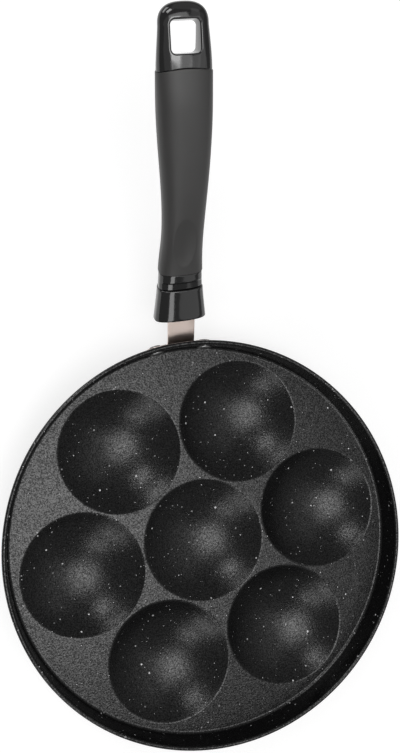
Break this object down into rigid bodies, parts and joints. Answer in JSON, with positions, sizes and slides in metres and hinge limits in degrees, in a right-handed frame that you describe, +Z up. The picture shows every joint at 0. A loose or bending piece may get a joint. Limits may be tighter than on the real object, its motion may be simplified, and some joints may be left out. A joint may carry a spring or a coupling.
{
  "type": "egg pan",
  "caption": "Round low-walled non-stick pan with bowl-shaped wells in its floor for frying eggs apart, and a fixed riveted handle that rises to a soft grip and a hanging loop.",
  "frame": {"origin": "middle of the centre well's flat foot, on the surface that the pan stands on", "axes": "+Z up; +Y from the pan's middle along the handle; +X to the right, seen from above with the handle at the top"},
  "size_m": [0.2402, 0.4011, 0.128],
  "materials": {
    "granite_coating": "dark grey non-stick coating with fine pale specks over cast aluminium",
    "coated_rivet": "aluminium under the same dark coating as the wall",
    "bracket_steel": "satin rolled steel",
    "gloss_moulding": "glossy black heat-proof moulding",
    "soft_grip": "matt soft-touch charcoal grey",
    "fastener_steel": "zinc-plated steel"
  },
  "bodies": {
    "root": {"pan_body": "granite_coating", "handle_bracket": "bracket_steel", "rivet_left": "coated_rivet", "rivet_right": "coated_rivet", "flame_guard": "gloss_moulding", "handle_core": "gloss_moulding", "grip_sleeve": "soft_grip", "handle_screw": "fastener_steel", "lock_washer": "fastener_steel", "tongue_nut": "fastener_steel"}
  },
  "joints": []
}
